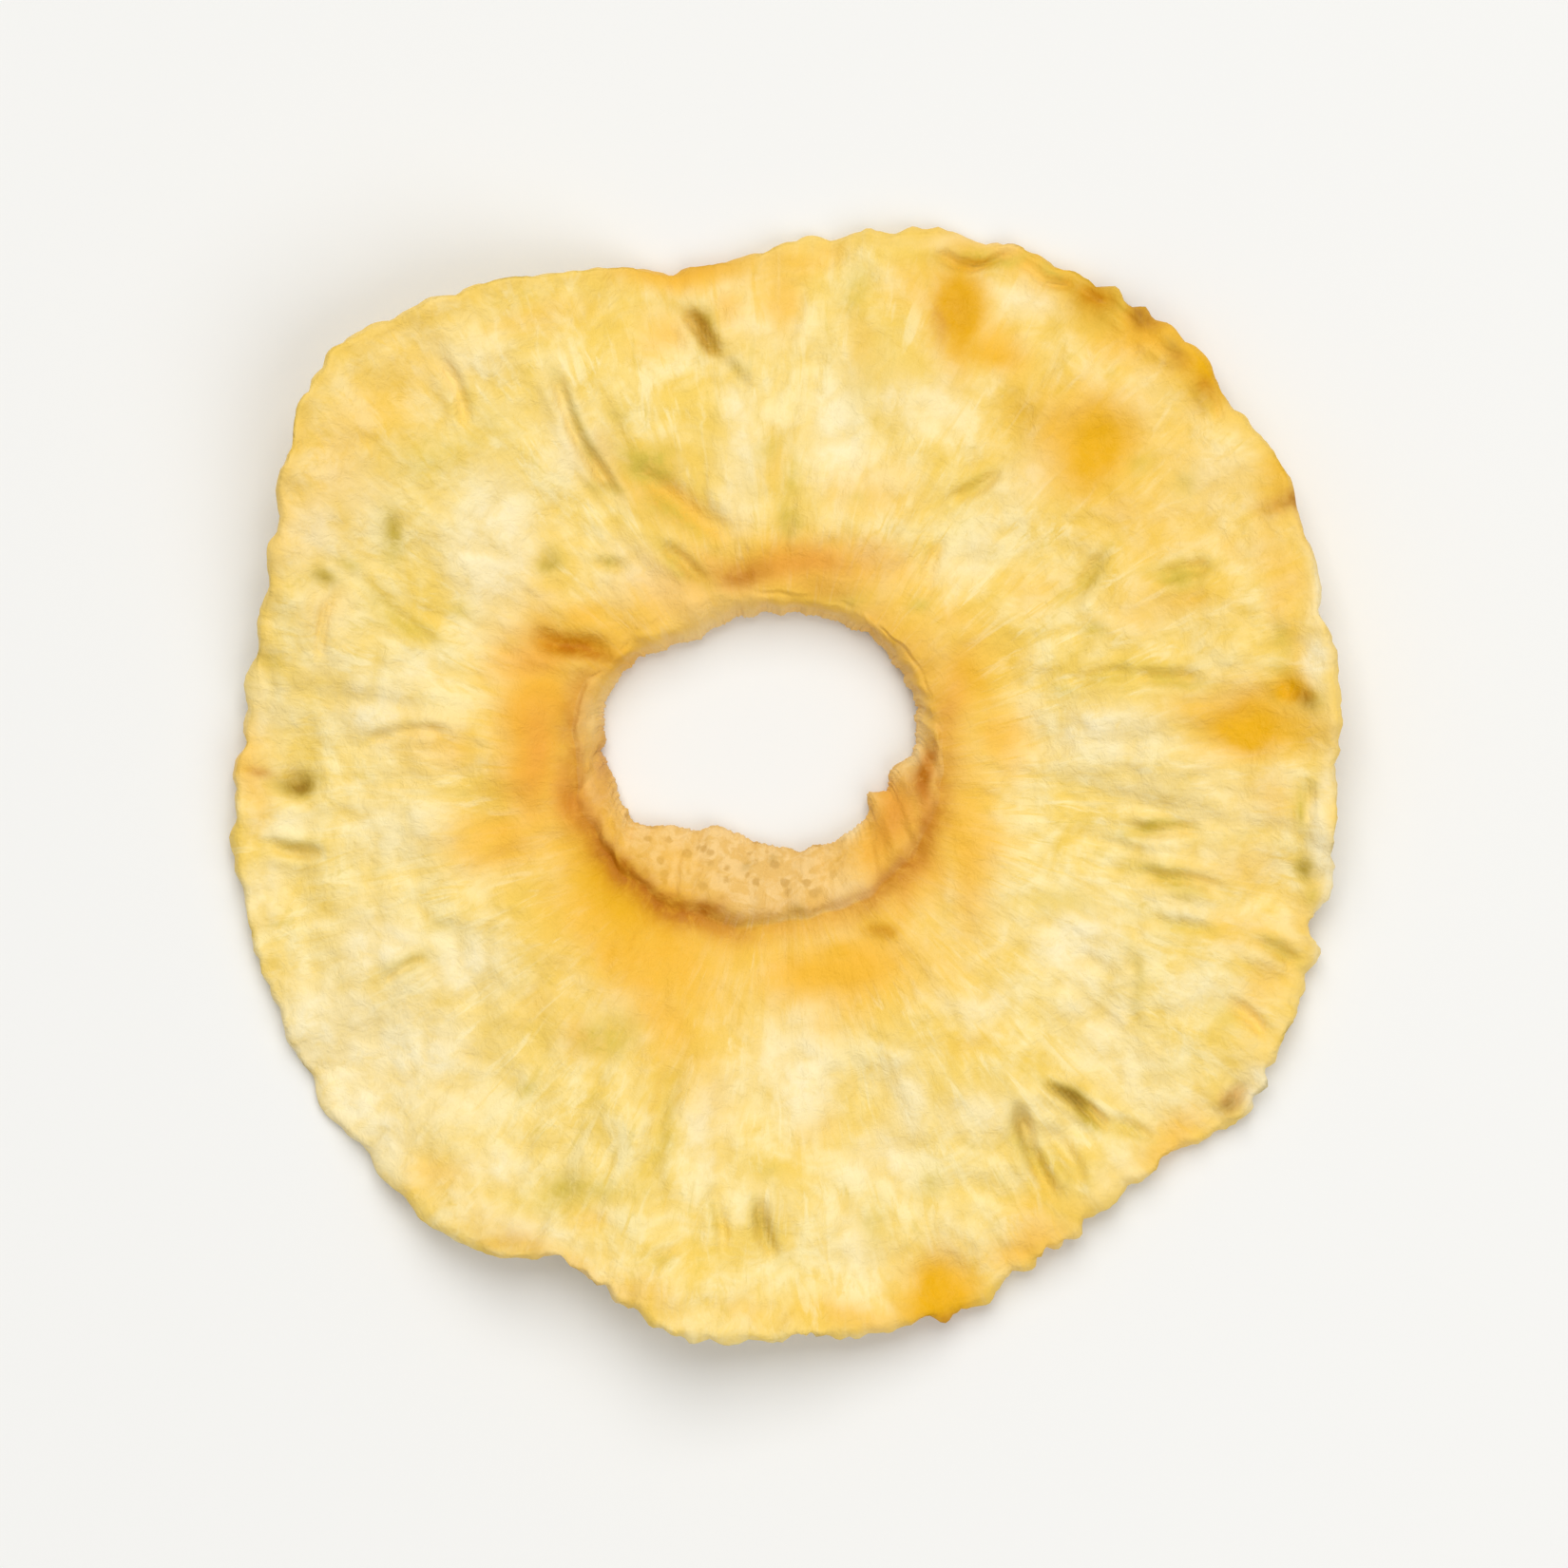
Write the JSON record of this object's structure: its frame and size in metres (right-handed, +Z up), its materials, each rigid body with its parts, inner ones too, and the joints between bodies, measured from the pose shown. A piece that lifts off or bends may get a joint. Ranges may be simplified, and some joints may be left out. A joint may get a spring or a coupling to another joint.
{
  "type": "dried pineapple ring",
  "caption": "Slice of dried pineapple: a warped, leathery ring of golden flesh with a frayed rim, round the open core hole and its collar.",
  "frame": {"origin": "under the middle of the ring's box, on the surface the ring lies on", "axes": "+Z up, out of the ring's domed face and along its thickness; the collar's widest side faces -Y, +X to the right as seen from above"},
  "size_m": [0.08, 0.0806, 0.0081],
  "materials": {
    "dried_flesh": "Dried pineapple flesh: pale golden yellow, orange round the core and in spots at the rim, fibrous and leathery with a dull shine."
  },
  "bodies": {
    "root": {"pineapple_ring": "dried_flesh"}
  },
  "joints": []
}
